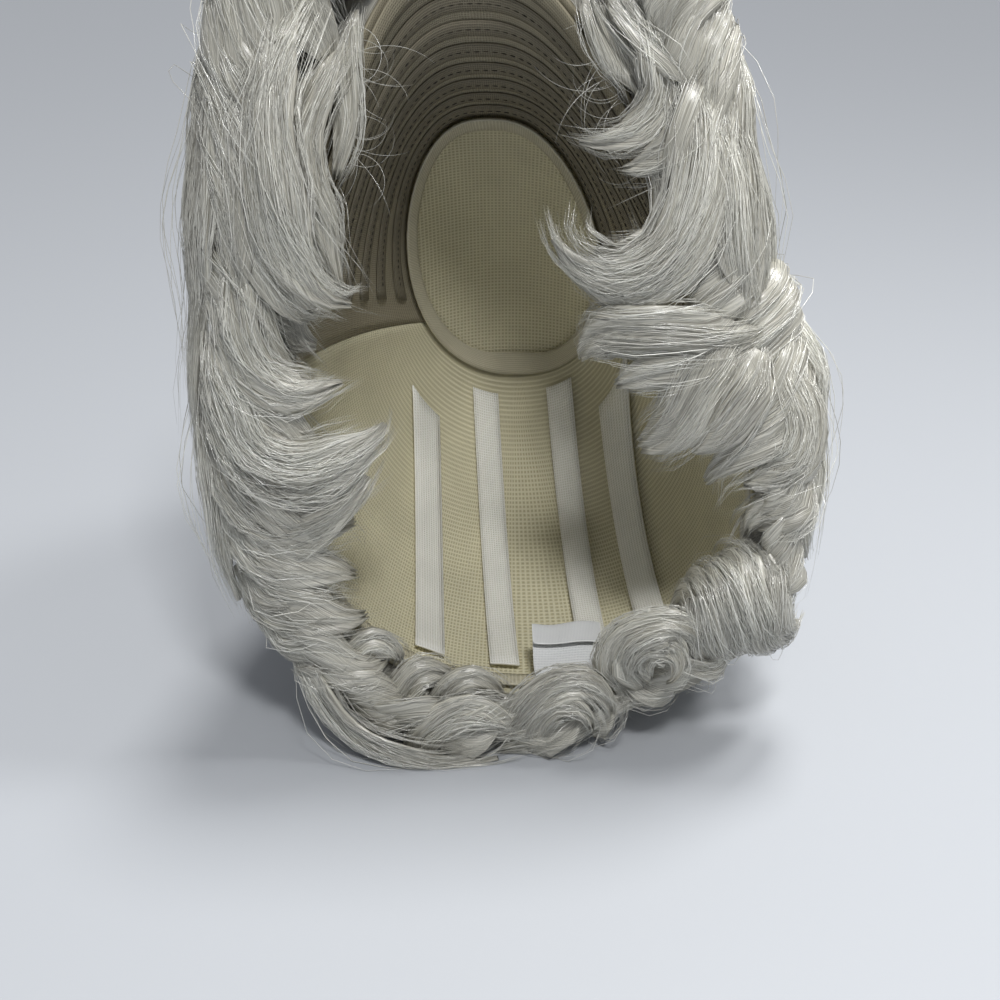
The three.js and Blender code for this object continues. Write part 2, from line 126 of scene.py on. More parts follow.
# from the cap's frame to the table's, in metres
def settle(points):
    tip = math.radians(lie["tip"])
    x, y, z = points[..., 0], points[..., 1], points[..., 2]
    yy = y * math.cos(tip) + z * math.sin(tip) + lie["forward"]
    zz = z * math.cos(tip) - y * math.sin(tip) + lie["lift"]
    return np.stack([x, yy, zz], -1) * mm


# materials

def linear(hexColour):
    parts = [int(hexColour[k:k + 2], 16) / 255 for k in (1, 3, 5)]
    return tuple(c / 12.92 if c <= 0.04045 else ((c + 0.055) / 1.055) ** 2.4 for c in parts) + (1.0,)


def newMaterial(name):
    material = bpy.data.materials.new(name)
    material.use_nodes = True
    tree = material.node_tree
    return material, tree, tree.nodes["Principled BSDF"]


# sets a node's properties, inputs or ramp colours by name, and links other nodes' outputs into it
def setNode(tree, node, settings=None, links=None):
    for name, value in (settings or {}).items():
        if name == "colours":
            for element, colour in zip(node.color_ramp.elements, value):
                element.color = linear(colour)
        elif isinstance(name, int) or name in node.inputs:
            node.inputs[name].default_value = value
        else:
            setattr(node, name, value)
    for name, source in (links or {}).items():
        tree.links.new(source, node.inputs[name])
    return node


def addNode(tree, kind, settings=None, links=None):
    return setNode(tree, tree.nodes.new(kind), settings, links)


# drawn fibre: each has its own shade, "tone", and packed fibres show as lines along the lock, in relief and
# with painted shade between them
def fibreMaterial(name, dark, pale, roughness, gloss, packedMm=0):
    material, tree, shader = newMaterial(name)
    if packedMm:
        laid = addNode(tree, "ShaderNodeUVMap", {"uv_map": "lay"})
        size = (1 / (packedMm * mm), 1 / (30 * mm), 1)  # a line runs on for about 30 mm
        scaled = addNode(tree, "ShaderNodeMapping", {"Scale": size}, {"Vector": laid.outputs["UV"]})
        at = {"Vector": scaled.outputs["Vector"]}
        lines = addNode(tree, "ShaderNodeTexNoise", {"Scale": 1.0, "Detail": 2.0}, at).outputs["Fac"]
        relief = {"Strength": 0.8, "Distance": 0.3 * mm}
        bump = addNode(tree, "ShaderNodeBump", relief, {"Height": lines})
        along = addNode(tree, "ShaderNodeTangent", {"direction_type": "UV_MAP", "uv_map": "lay"})
        shine = {"Normal": bump.outputs["Normal"], "Tangent": along.outputs["Tangent"]}
        setNode(tree, shader, {"Anisotropic": 0.75}, shine)
        # the dark end of these lines is painted shade between the packed fibres
        contrast = {"From Min": 0.3, "From Max": 0.7}
        tone = addNode(tree, "ShaderNodeMapRange", contrast, {"Value": lines}).outputs[0]
    else:
        tone = addNode(tree, "ShaderNodeAttribute", {"attribute_name": "tone"}).outputs["Fac"]
    ramp = addNode(tree, "ShaderNodeValToRGB", {"colours": (dark, pale)}, {"Fac": tone})
    look = {"Roughness": roughness, "Specular IOR Level": gloss}
    look["IOR"] = 1.7  # above acrylic's 1.49, so that the shine shows
    setNode(tree, shader, look, {"Base Color": ramp.outputs["Color"]})
    return material


# drawn acrylic: silver, smooth and glossy, so it shines in a line across a curl
fibre = fibreMaterial("silverAcrylicFibre", "#a19e94", "#f9f8ee", 0.22, 1.0)
# spun cotton: dark and matt
cottonThread = fibreMaterial("cottonThread", "#2b2720", "#4a4437", 0.85, 0.3)
# acrylic fibres lying close, painted darker than the loose fibres as the shade inside a lock, and darker
# still between them as painted shade; lines 0.32 mm apart, coarser than real so that they show
shadedFibreMass = fibreMaterial("packedAcrylicFibrePaintedShade", "#736f63", "#dfdcce", 0.3, 0.8, 0.32)


# woven cloth with square cells, matt and a little uneven in dye
def wovenCloth(name, thread, hole, cellMm):
    material, tree, shader = newMaterial(name)
    uv = addNode(tree, "ShaderNodeUVMap", {"uv_map": "cloth"})
    size = (1 / (cellMm * mm),) * 3
    scaled = addNode(tree, "ShaderNodeMapping", {"Scale": size}, {"Vector": uv.outputs["UV"]})
    split = addNode(tree, "ShaderNodeSeparateXYZ", links={"Vector": scaled.outputs["Vector"]})
    waves = []
    for axis in ("X", "Y"):
        fullTurn = {"operation": "MULTIPLY", 1: math.tau}
        turn = addNode(tree, "ShaderNodeMath", fullTurn, {0: split.outputs[axis]})
        wave = addNode(tree, "ShaderNodeMath", {"operation": "COSINE"}, {0: turn.outputs[0]})
        waves.append(wave.outputs[0])
    top = addNode(tree, "ShaderNodeMath", {"operation": "MAXIMUM"}, dict(enumerate(waves)))
    weave = {"From Min": -0.5, "From Max": 0.9}
    threadMix = addNode(tree, "ShaderNodeMapRange", weave, {"Value": top.outputs[0]})
    ramp = addNode(tree, "ShaderNodeValToRGB", {"colours": (hole, thread)}, {"Fac": threadMix.outputs[0]})
    coords = addNode(tree, "ShaderNodeTexCoord")
    patches = {"Scale": 45.0, "Detail": 3.0}  # about 22 mm across
    dye = addNode(tree, "ShaderNodeTexNoise", patches, {"Vector": coords.outputs["Object"]})
    uneven = {"To Min": 0.82, "To Max": 1.12}
    shade = addNode(tree, "ShaderNodeMapRange", uneven, {"Value": dye.outputs["Fac"]})
    multiply = {"data_type": "RGBA", "blend_type": "MULTIPLY", "Factor": 1.0}
    dyed = {"A": ramp.outputs["Color"], "B": shade.outputs[0]}
    tint = addNode(tree, "ShaderNodeMix", multiply, dyed)
    relief = {"Strength": 0.5, "Distance": 0.4 * mm}
    bump = addNode(tree, "ShaderNodeBump", relief, {"Height": top.outputs[0]})
    look = {"Base Color": tint.outputs["Result"], "Normal": bump.outputs["Normal"]}
    setNode(tree, shader, {"Roughness": 0.9}, look)
    return material


# mm of a cell, a little coarser than real so that the weave shows
netCloth = wovenCloth("cottonNet", "#e0dabd", "#bdb593", 1.3)  # cream cotton net, open cells
shadedLaceCloth = wovenCloth("brownLacePaintedShade", "#a8a089", "#847c68", 1.1)  # fine lace of the front, browner in itself and painted darker as shade, for the front panel faces down
shadedWeftCloth = wovenCloth("stitchedWeftPaintedShade", "#8d8673", "#665f4f", 0.9)  # close machine stitching, painted darker as the shade on the wefts, which face down
bandCloth = wovenCloth("beigeTape", "#d8d2bb", "#b7af93", 0.9)  # plain woven tape
tapeCloth = wovenCloth("creamTape", "#fbfaf3", "#e3e1d4", 0.9)  # bleached woven tape
labelCloth = wovenCloth("plainSatin", "#f6f7f6", "#e6e8e8", 0.5)  # white ribbon, woven close


def addObject(name, data):
    holder = bpy.data.objects.new(name, data)
    bpy.context.scene.collection.objects.link(holder)
    return holder


# a cap piece: grids bent onto the cap and given a wall
def sewCloth(name, bends, grid, clothMm, material, nodes, wall, offset=0):
    bm = bmesh.new()
    uvLayer = bm.loops.layers.uv.new("cloth")
    for bend in bends:
        made = bmesh.ops.create_grid(bm, x_segments=grid[0], y_segments=grid[1], size=0.5)["verts"]
        flat = np.array([v.co[:2] for v in made]) + 0.5
        points = settle(bend(flat[:, 0], flat[:, 1]))
        laid = flat * np.array(clothMm) * mm if clothMm else points[:, [0, 2]]  # no size: laid flat
        flatOf = dict(zip(made, laid))
        for face in {f for v in made for f in v.link_faces}:
            for loop in face.loops:
                loop[uvLayer].uv = flatOf[loop.vert]
        for vert, point in zip(made, points):
            vert.co = point
    bmesh.ops.remove_doubles(bm, verts=bm.verts[:], dist=1e-6)
    mesh = bpy.data.meshes.new(name)
    bm.to_mesh(mesh)
    bm.free()
    for face in mesh.polygons:
        face.use_smooth = True
    mesh.materials.append(material)
    piece = addObject(name, mesh)
    solid = piece.modifiers.new("wall", "SOLIDIFY")
    solid.thickness = wall * mm
    solid.offset = offset
    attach(piece, "root")
    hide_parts(*nodes)
    return piece


print("net panels")
panels = {
    "frontPanel": {"span": cap["frontSpan"], "grid": (60, 22), "node": "front_panel", "cloth": shadedLaceCloth},
    "backPanel": {"span": cap["backSpan"], "grid": (64, 30), "node": "back_panel", "cloth": netCloth},
}
panelMake = {"clothMm": (330, 110), "upTo": 0.995}  # mm of cloth, and how near to the crown seam
for name, panel in panels.items():
    def panelAt(s, t):
        theta = mix(*panel["span"], s)
        return above(theta, levelAt(theta, t * panelMake["upTo"]), 0 * s)

    sewCloth(name, [panelAt], panel["grid"], panelMake["clothMm"], panel["cloth"],
                          [panel["node"]], cap["wall"], -1)


def crownAt(s, t):
    return above(360 * s, mix(crownSeam(360 * s), 1, t), 0 * s)


sewCloth("crownNet", [crownAt], (72, 18), None, netCloth, ["crown_net"],
                            cap["wall"], -1)

print("wefts, bands and tapes")
wefts = {"rows": 8, "first": 0.09, "last": 0.9, "from": 106, "to": 254, "long": 300, "wide": 6,
         "height": -0.8, "crown": 0.35, "wall": 0.6, "grid": (56, 4)}
weftShares = np.linspace(wefts["first"], wefts["last"], wefts["rows"])
weftNodes = ["front_weft_%d" % (k + 1) for k in range(wefts["rows"])]


def weftAt(share, s, t):
    theta = mix(wefts["from"], wefts["to"], s)
    v = levelAt(theta, share + (t - 0.5) * wefts["wide"] / seamLengths(theta)[1][:, -1])
    return above(theta, v, wefts["height"] - wefts["crown"] * (1 - (2 * t - 1) ** 2))


weftRows = [lambda s, t, share=share: weftAt(share, s, t) for share in weftShares]
sewCloth("frontWefts", weftRows, wefts["grid"], (wefts["long"], wefts["wide"]), shadedWeftCloth, weftNodes,
         wefts["wall"], -1)

# mm, apart from backFrom, a share of the way to the crown seam
tapes = {"low": -2.2, "wall": 0.8, "edge": 7, "edgeFrom": 0.6, "edgeLong": 300, "crown": 10,
         "crownLong": 360, "back": 10, "backFrom": 0.09, "backLong": 115, "bow": 0.3}
edgeBands = {
    "frontBand": {"span": cap["frontSpan"], "node": "front_band", "cloth": shadedLaceCloth},
    "napeBand": {"span": cap["backSpan"], "node": "nape_band", "cloth": bandCloth},
}
backTapes = (  # mm across at the nape and at the crown, share of the way up where it ends
    {"foot": -38, "head": -45, "to": 0.8}, {"foot": -12, "head": -21, "to": 0.92},
    {"foot": 20, "head": 8, "to": 0.93}, {"foot": 42, "head": 27, "to": 0.82},
)
for name, band in edgeBands.items():
    def edgeBand(s, t):
        theta = mix(*band["span"], s)
        return above(theta, levelAtMm(theta, tapes["edgeFrom"] + t * tapes["edge"]), tapes["low"] + 0 * t)

    sewCloth(name, [edgeBand], (60, 3), (tapes["edgeLong"], tapes["edge"]), band["cloth"],
                          [band["node"]], tapes["wall"])


def crownBand(s, t):
    theta = 360 * s
    step = crownSeam(theta) / seamLengths(theta)[1][:, -1]
    return above(theta, crownSeam(theta) + (t - 0.5) * tapes["crown"] * step, tapes["low"] + 0 * s)


sewCloth("crownBand", [crownBand], (90, 4), (tapes["crownLong"], tapes["crown"]),
                             bandCloth, ["crown_band"], tapes["wall"])


def backTape(tape, s, t):
    share = mix(tapes["backFrom"], tape["to"], t)
    wanted = mix(tape["foot"], tape["head"], share) + (s - 0.5) * tapes["back"]
    theta = wanted.copy()
    for _ in range(30):  # closes in on the angle at which the cap is this far across
        place = capPoint(theta, levelAt(theta, share))
        theta += 0.5 * (wanted - place[:, 0] + cap["lean"] * cap["nape"])
    return above(theta, levelAt(theta, share), tapes["low"] - tapes["bow"] * (1 - (2 * s - 1) ** 2))


for k, tape in enumerate(backTapes):
    name, node = "backTape%d" % (k + 1), "back_tape_%d" % (k + 1)
    sewCloth(name, [lambda s, t: backTape(tape, s, t)], (4, 24),
                          (tapes["back"], tapes["backLong"]), tapeCloth, [node], tapes["wall"])

print("label")
# at and lift in degrees, the rest in mm, level near the edge
label = {"at": 3, "foot": 2, "height": -4.1, "wide": 23, "tall": 20, "cut": 32, "fold": 1.7, "thick": 0.5,
         "lift": 38, "wave": 1.3, "waves": 7, "columns": 10, "nearEdge": 0.02, "smooth": 2}
labelFold = ((0, 0), (0.5, 0.2), (0.92, 0), (1, 0.5), (0.92, 1), (0.72, 1.3), (0.55, 1.8))  # up, off


def labelAt(s, t):
    theta = np.array([float(label["at"])])
    foot = above(theta, levelAtMm(theta, label["foot"]), label["height"])
    around = unit(capPoint(theta + 1, label["nearEdge"]) - capPoint(theta - 1, label["nearEdge"]))
    inward = -capNormal(theta, label["nearEdge"])
    along = unit(np.cross(inward, around))
    lift = math.radians(label["lift"])
    rise = along * math.cos(lift) + inward * math.sin(lift)
    face = np.cross(around, rise)
    at = np.linspace(0, 1, len(labelFold))
    up = np.interp(t, at, [row[0] for row in labelFold])
    off = np.interp(t, at, [row[1] for row in labelFold])
    bow = label["wave"] * np.sin((s - 0.5) * label["waves"]) * up
    return (foot + around * ((s - 0.5) * label["wide"])[:, None] + rise * (up * label["tall"])[:, None]
            + face * (off * label["fold"] + bow)[:, None])


labelPiece = sewCloth("sewnLabel", [labelAt], (label["columns"], len(labelFold) - 1),
                      (label["wide"], label["cut"]), labelCloth, ["label"], label["thick"])
rounded = labelPiece.modifiers.new("rounded", "SUBSURF")
rounded.levels = rounded.render_levels = label["smooth"]

# hair

hairDepth = (  # degrees from the nape, depth in mm at the edge and over the back of the head
    (-180, 26, 24), (-130, 36, 26), (-90, 22, 25), (-50, 14, 27), (0, 13, 38),
    (50, 12, 27), (90, 20, 25), (130, 32, 26), (180, 26, 24),
)
# one fibre: mm of radius, two to three times a real one's so that it shows; mm and degrees from ring to ring
strand = {"radius": 0.115, "uneven": 0.25, "taperAt": (0, 0.1, 0.6, 1), "taper": (0.6, 1, 0.9, 0.15),
          "ringMm": 11, "ringTurn": 24, "rings": (7, 20)}
# how fibres lie in a lock: mm of swing and the mm that a swing takes, and the share of strays and loops
lay = {"dome": 0.3, "sway": 1.6, "swayMm": 62, "wave": 0.9, "waveMm": 42, "frizz": 0.3, "frizzMm": 25,
       "ridge": 0.8, "ridgeMm": 9, "strays": 0.06, "strayMm": (1, 8), "loops": 0.03, "loop": 8, "deep": 0.8,
       "rootSpread": 0.24, "tipSpread": 0.08}
# the wisps that fibres gather into: mm across one, and how they flick at their tips
wisp = {"wide": 2.6, "least": 4, "span": 0.92, "uneven": 0.06, "stop": (0.82, 1.0), "turn": 2.6,
        "lift": (0.6, 1.6), "loose": 0.24, "gather": 0.75, "flickFrom": 0.72, "tone": (0.58, 0.2, 0.14)}
# the packed middle of a lock: its shares along and across the lock, and mm under its fibres and through it
packed = {"from": 0.04, "to": 0.88, "fullAt": (0.04, 0.18, 0.6, 0.88), "full": (0.35, 1, 1, 0.25),
          "share": 0.9, "under": 0.9, "thin": 0.3, "thick": 2.8, "stepTurn": 14, "steps": (14, 22),
          "across": 11}
sections = {
    name: {"verts": [], "quads": [], "tris": [], "tones": [], "lays": [], "kinds": [], "size": 0}
    for name in ("napeHair", "rightHair", "frontHair", "leftHair", "crownHair", "rightLocks", "leftLocks",
                 "hemLocks", "topLocks", "weftStitches")
}
hairNodes = {"napeHair": "nape_hair", "rightHair": "right_hair", "frontHair": "front_hair",
             "leftHair": "left_hair", "crownHair": "crown_hair"}
spans = {"napeHair": (-50, 50), "rightHair": (50, 138), "frontHair": (138, 222), "leftHair": (222, 310)}
crownFrom = 0.55  # level above which a lock belongs to the crown
offTable = 0.0003  # metres that the lowest hair keeps off the table


def fromNape(theta):
    return (np.asarray(theta) + 180) % 360 - 180


def sectionOf(theta, v=0.0):
    turn = float(fromNape(theta))
    if v > crownFrom:
        return "crownHair"
    if abs(turn) < spans["napeHair"][1]:
        return "napeHair"
    return "frontHair" if abs(turn) > spans["frontHair"][0] else "rightHair" if turn > 0 else "leftHair"


def depthAt(theta, v):
    rows = np.array(hairDepth, float)
    turn = fromNape(theta)
    edge, back = (np.interp(turn, rows[:, 0], rows[:, column]) for column in (1, 2))
    return mix(edge, back, ease(v / 0.5))


def onTable(points):
    points[..., 2] = np.maximum(points[..., 2], offTable)
    return points


# kind 0 is a fibre and 1 a packed mass
def addTo(section, verts, quads, tris, tone, laid, kind):
    tuft = sections[section]
    tuft["verts"].append(onTable(verts))
    tuft["lays"].append(np.broadcast_to(laid, (len(verts), 2)))
    tuft["quads"].append(quads + tuft["size"])
    tuft["tris"].append(tris + tuft["size"])
    tuft["tones"].append(np.broadcast_to(tone, len(verts)))
    tuft["kinds"].append(np.full(len(quads), kind))
    tuft["size"] += len(verts)


# closed three-sided fibres along many paths at once, thin at the tip
def addFibres(section, paths, tone, radius=strand["radius"]):
    count, rings = paths.shape[:2]
    paths = onTable(paths)
    along = unit(np.gradient(paths, axis=1))
    side = unit(np.cross(along, unit(draw.normal(size=(count, 1, 3)))))
    other = np.cross(along, side)
    taper = np.interp(np.linspace(0, 1, rings), strand["taperAt"], strand["taper"])
    uneven = draw.uniform(1 - strand["uneven"], 1 + strand["uneven"], (count, 1, 1))
    size = radius * mm * uneven * taper[None, :, None]
    corners = (0, math.tau / 3, -math.tau / 3)
    ring = [paths + side * size * math.cos(a) + other * size * math.sin(a) for a in corners]
    first = np.arange(count) * rings * 3
    start = first[:, None, None] + 3 * np.arange(rings - 1)[None, :, None]
    here, turned = start + np.array([0, 1, 2]), start + np.array([1, 2, 0])
    quads = np.stack([here, turned, turned + 3, here + 3], -1).reshape(-1, 4)
    last = first + (rings - 1) * 3
    ends = [np.stack([first, first + 2, first + 1], -1), np.stack([last, last + 1, last + 2], -1)]
    tones = np.repeat(np.clip(tone, 0, 1), rings * 3)
    addTo(section, np.stack(ring, 2).reshape(-1, 3), quads, np.concatenate(ends), tones, (0, 0), 0)


# closed slab of packed fibre between two grids of points
def addMass(section, outer, inner):
    columns, rows = outer.shape[:2]
    along = np.cumsum(np.linalg.norm(np.diff(outer, axis=0, prepend=outer[:1]), axis=-1), 0)
    across = np.cumsum(np.linalg.norm(np.diff(outer, axis=1, prepend=outer[:, :1]), axis=-1), 1)
    laid = np.stack([across, along], -1).reshape(-1, 2) + draw.uniform(0, 1, 2)
    half = columns * rows
    i, j = np.meshgrid(np.arange(columns - 1), np.arange(rows - 1), indexing="ij")
    a = (i * rows + j).ravel()
    faces = [np.stack([a, a + 1, a + rows + 1, a + rows], -1),
             np.stack([a, a + rows, a + rows + 1, a + 1], -1) + half]
    for line, flip in ((np.arange(columns) * rows, False), (np.arange(columns) * rows + rows - 1, True),
                       (np.arange(rows), True), (np.arange(rows) + (columns - 1) * rows, False)):
        edge = np.stack([line[:-1], line[1:], line[1:] + half, line[:-1] + half], -1)
        faces.append(edge[:, ::-1] if flip else edge)
    verts = np.concatenate([outer.reshape(-1, 3), inner.reshape(-1, 3)])
    noTris = np.zeros((0, 3), int)
    addTo(section, verts, np.concatenate(faces), noTris, 0.5, np.concatenate([laid, laid]), 1)


# smooth line through a few points
def through(points, count):
    points = np.asarray(points, float)
    chord = np.concatenate([[0], np.cumsum(np.sqrt(np.linalg.norm(np.diff(points, axis=0), axis=1)))])
    at = np.linspace(0, chord[-1], count)
    padded = np.concatenate([[2 * points[0] - points[1]], points, [2 * points[-1] - points[-2]]])
    knots = np.concatenate([[-chord[1]], chord, [2 * chord[-1] - chord[-2]]])
    k = np.clip(np.searchsorted(chord, at, "right") - 1, 0, len(points) - 2)
    p = [padded[k + j] for j in range(4)]
    t = [knots[k + j][:, None] for j in range(4)]
    x = at[:, None]
    a = [((t[j + 1] - x) * p[j] + (x - t[j]) * p[j + 1]) / (t[j + 1] - t[j]) for j in range(3)]
    b = [((t[j + 2] - x) * a[j] + (x - t[j]) * a[j + 1]) / (t[j + 2] - t[j]) for j in range(2)]
    return ((t[2] - x) * b[0] + (x - t[1]) * b[1]) / (t[2] - t[1])


# the line of a lock with the directions out of the hair and across the lock, its mm and the degrees it turns
def lockLine(middle, outward):
    along = unit(np.gradient(middle, axis=0))
    padded = np.pad(outward, ((15, 15), (0, 0)), "edge")
    outward = np.stack([np.convolve(padded[:, axis], np.ones(31) / 31, "valid") for axis in range(3)], 1)
    outward = unit(outward - along * np.sum(outward * along, axis=1, keepdims=True))
    length = np.linalg.norm(np.diff(middle, axis=0), axis=1).sum() / mm
    bends = np.clip(np.sum(along[1:] * along[:-1], axis=1), -1, 1)
    return {"middle": middle, "outward": outward, "across": np.cross(along, outward), "length": length,
            "turned": np.degrees(np.arccos(bends)).sum()}


def onLock(line, s, aside, lift):
    k = np.clip(s, 0, 1) * (len(line["middle"]) - 1)
    low = np.minimum(k.astype(int), len(line["middle"]) - 2)
    part = (k - low)[..., None]
    keys = ("middle", "across", "outward")
    middle, across, outward = (mix(line[key][low], line[key][low + 1], part) for key in keys)
    return middle + (across * aside[..., None] + outward * lift[..., None]) * mm


# a lock: its packed middle, and fibres that gather into wisps and flick at the tips
def growLock(section, line, lock, perArea):
    wide, dome = lock["wide"], lock.get("dome", lay["dome"] * lock["wide"])
    bundles = max(2, round(wide / lay["ridgeMm"]))
    lean = draw.uniform(0, math.tau)

    def half(s):
        return wide / 2 * np.interp(s, [0, 0.2, 0.6, 1], [lock.get("root", 0.5), 1, 0.95, lock["tip"]])

    def sway(s):
        return lay["sway"] * np.sin(line["length"] * s * math.tau / lay["swayMm"] + lean) * ease(s / 0.3)

    def ridge(s, u):  # a lock is a few bundles side by side, laid a little askew
        return lay["ridge"] * np.cos(math.pi * (bundles * u + 1.6 * s) + lean) * ease(s / 0.3)

    steps = int(np.clip(line["turned"] / packed["stepTurn"], *packed["steps"]))
    along, across = np.linspace(packed["from"], packed["to"], steps), np.linspace(-1, 1, packed["across"])
    s, u = np.meshgrid(along, across, indexing="ij")
    full = np.interp(s, packed["fullAt"], packed["full"])
    lift = dome * (np.sqrt(1 - (packed["share"] * u * full) ** 2) - 1) - packed["under"] + ridge(s, u)
    thickness = packed["thin"] + packed["thick"] * np.sqrt(np.maximum(0, 1 - (0.97 * u) ** 2)) * full
    aside = packed["share"] * u * full * half(s) + sway(s)
    addMass(section, onLock(line, s, aside, lift), onLock(line, s, aside, lift - thickness))

    count = int(perArea * wide * line["length"])
    rings = max(line["length"] / strand["ringMm"], line["turned"] / strand["ringTurn"])
    rings = int(np.clip(rings, *strand["rings"]))
    wisps = max(wisp["least"], round(wide / wisp["wide"]))
    ofWisp = draw.integers(0, wisps, count)
    wispAt = np.linspace(-wisp["span"], wisp["span"], wisps) + draw.normal(0, wisp["uneven"], wisps)
    wispStop = draw.uniform(*wisp["stop"], wisps)
    wispTurn = draw.normal(0, wisp["turn"], wisps)
    wispLift = draw.normal(*wisp["lift"], wisps)
    own = np.clip(wispAt[ofWisp] + draw.normal(0, wisp["loose"], count), -1, 1)
    begin = lay["rootSpread"] * draw.uniform(0, 1, count) ** 1.5
    stop = wispStop[ofWisp] - np.abs(draw.normal(0, lay["tipSpread"], count))
    s = mix(begin[:, None], stop[:, None], np.linspace(0, 1, rings)[None, :])
    u = mix(own[:, None], wispAt[ofWisp][:, None], wisp["gather"] * ease((s - 0.35) / 0.6))
    phase = draw.uniform(0, math.tau, wisps)[ofWisp][:, None] + draw.normal(0, 0.4, (count, 1))
    run = line["length"] * s * math.tau
    wave = lay["wave"] * np.sin(run / lay["waveMm"] + phase)
    frizz = lay["frizz"] * np.sin(run / lay["frizzMm"] + 3 * phase)
    strays = draw.uniform(0, 1, (count, 1)) < lay["strays"]
    stray = strays * draw.uniform(*lay["strayMm"], (count, 1)) * s ** 2
    loops = draw.uniform(0, 1, (count, 1)) < lay["loops"]
    bowed = loops * draw.uniform(0.4, 1, (count, 1)) * lay["loop"]
    loop = bowed * np.sin(math.pi * np.linspace(0, 1, rings)) ** 2
    flick = lock.get("flick", 1) * ease((s - wisp["flickFrom"]) / (1 - wisp["flickFrom"]))
    deep = np.abs(draw.normal(0, lay["deep"], (count, 1)))
    aside = u * half(s) + sway(s) + wave + frizz + stray * np.sin(phase + 4 * s)
    aside = aside + wispTurn[ofWisp][:, None] * flick
    lift = dome * (np.sqrt(np.maximum(0, 1 - u ** 2)) - 1) - deep + 0.5 * wave + stray + loop + ridge(s, u)
    lift = lift + wispLift[ofWisp][:, None] * flick
    middleTone, wispTone, ownTone = wisp["tone"]
    tone = draw.normal(middleTone, wispTone, wisps)[ofWisp] + draw.normal(0, ownTone, count)
    addFibres(section, onLock(line, s, aside, lift), tone)


print("stitches")
# rows of thread along the wefts, which the hair is sewn in with: mm
stitch = {"long": 1.7, "every": 2.7, "radius": 0.24, "height": -1.3, "from": 108, "to": 252,
          "endGap": (2, 4)}


def stitchRow(share):
    theta = np.linspace(stitch["from"], stitch["to"], 600)
    line = settle(above(theta, levelAt(theta, share), stitch["height"] + 0 * theta))
    run = np.concatenate([[0], np.cumsum(np.linalg.norm(np.diff(line, axis=0), axis=1))]) / mm
    starts = np.arange(stitch["endGap"][0], run[-1] - stitch["endGap"][1], stitch["every"])
    at = starts[:, None] + np.array([0, 0.5, 1]) * stitch["long"]
    return np.stack([np.interp(at, run, line[:, axis]) for axis in range(3)], -1)


stitches = np.concatenate([stitchRow(share) for share in weftShares])
addFibres("weftStitches", stitches, draw.uniform(0, 1, len(stitches)), stitch["radius"])

print("backing")
backing = {"crownFrom": 0.8, "crownTo": 0.999, "under": 2.4, "share": 0.7}  # levels, mm, share of the depth


def addBacking(name, theta, v):
    outer = settle(above(theta, v, backing["share"] * depthAt(theta, v)))
    addMass(name, outer, settle(above(theta, v, backing["under"] + 0 * v)))


for name, (start, end) in spans.items():
    theta, t = np.meshgrid(np.linspace(start, end, 36), np.linspace(0, 1, 22), indexing="ij")
    addBacking(name, theta, t * backing["crownFrom"])
levels = np.linspace(backing["crownFrom"], backing["crownTo"], 9)
theta, v = np.meshgrid(np.linspace(0, 360, 91), levels, indexing="ij")
addBacking("crownHair", theta, v)


# a line over the head that starts in a heading and turns as it goes, in steps of some mm
def wander(theta, v, headings, stepMm):
    places = [(theta, v)]
    for heading in headings:
        perDegree = np.linalg.norm(capPoint(theta + 1, v) - capPoint(theta - 1, v)) / 2
        perLevel = np.linalg.norm(capPoint(theta, v + 0.01) - capPoint(theta, v - 0.01)) / 0.02
        theta = theta + stepMm * math.cos(heading) / max(perDegree, 0.4)
        v = min(max(v + stepMm * math.sin(heading) / perLevel, 0.03), 0.95)
        places.append((theta, v))
    return np.array(places).T


def headLock(theta, level, height, lock, section=None):
    middle = settle(through(above(theta, level, height), 120))
    outward = settle(through(above(theta, level, height + 10), 120)) - middle
    section = section or sectionOf(theta[0], level[0])
    growLock(section, lockLine(middle, unit(outward)), lock, lock["perArea"])


print("locks falling over the head")
falling = {"rows": 6, "first": 0.09, "last": 0.74, "steps": 4, "step": 36, "start": 178, "jitter": 5,
           "long": 92, "points": 16, "wide": 25, "tip": 0.35, "sway": 0.35, "curl": 150, "perArea": 0.03}
for side in (-1, 1):
    for row in range(falling["rows"]):
        for step in range(falling["steps"]):
            v = mix(falling["first"], falling["last"], row / (falling["rows"] - 1))
            start = falling["start"] - (step + 0.5 * (row % 2)) * falling["step"]
            start = start + draw.uniform(-falling["jitter"], falling["jitter"])
            t = np.linspace(0, 1, falling["points"])
            bend = math.radians(falling["curl"]) * draw.choice([-1, 1]) * draw.uniform(0.7, 1.2)
            turn = falling["sway"] * np.sin(5 * t + draw.uniform(0, 6)) + bend * ease((t - 0.5) / 0.6)
            heading = (math.pi if side > 0 else 0) + turn
            stepMm = falling["long"] / falling["points"] * draw.uniform(0.85, 1.15)
            theta, level = wander(side * start, v, heading, stepMm)
            rises = [0.6, 1.0, draw.uniform(1.0, 1.15), 0.9]
            rise = np.interp(np.linspace(0, 1, len(theta)), [0, 0.25, 0.7, 1], rises)
            headLock(theta, level, depthAt(theta, level) * rise, falling)

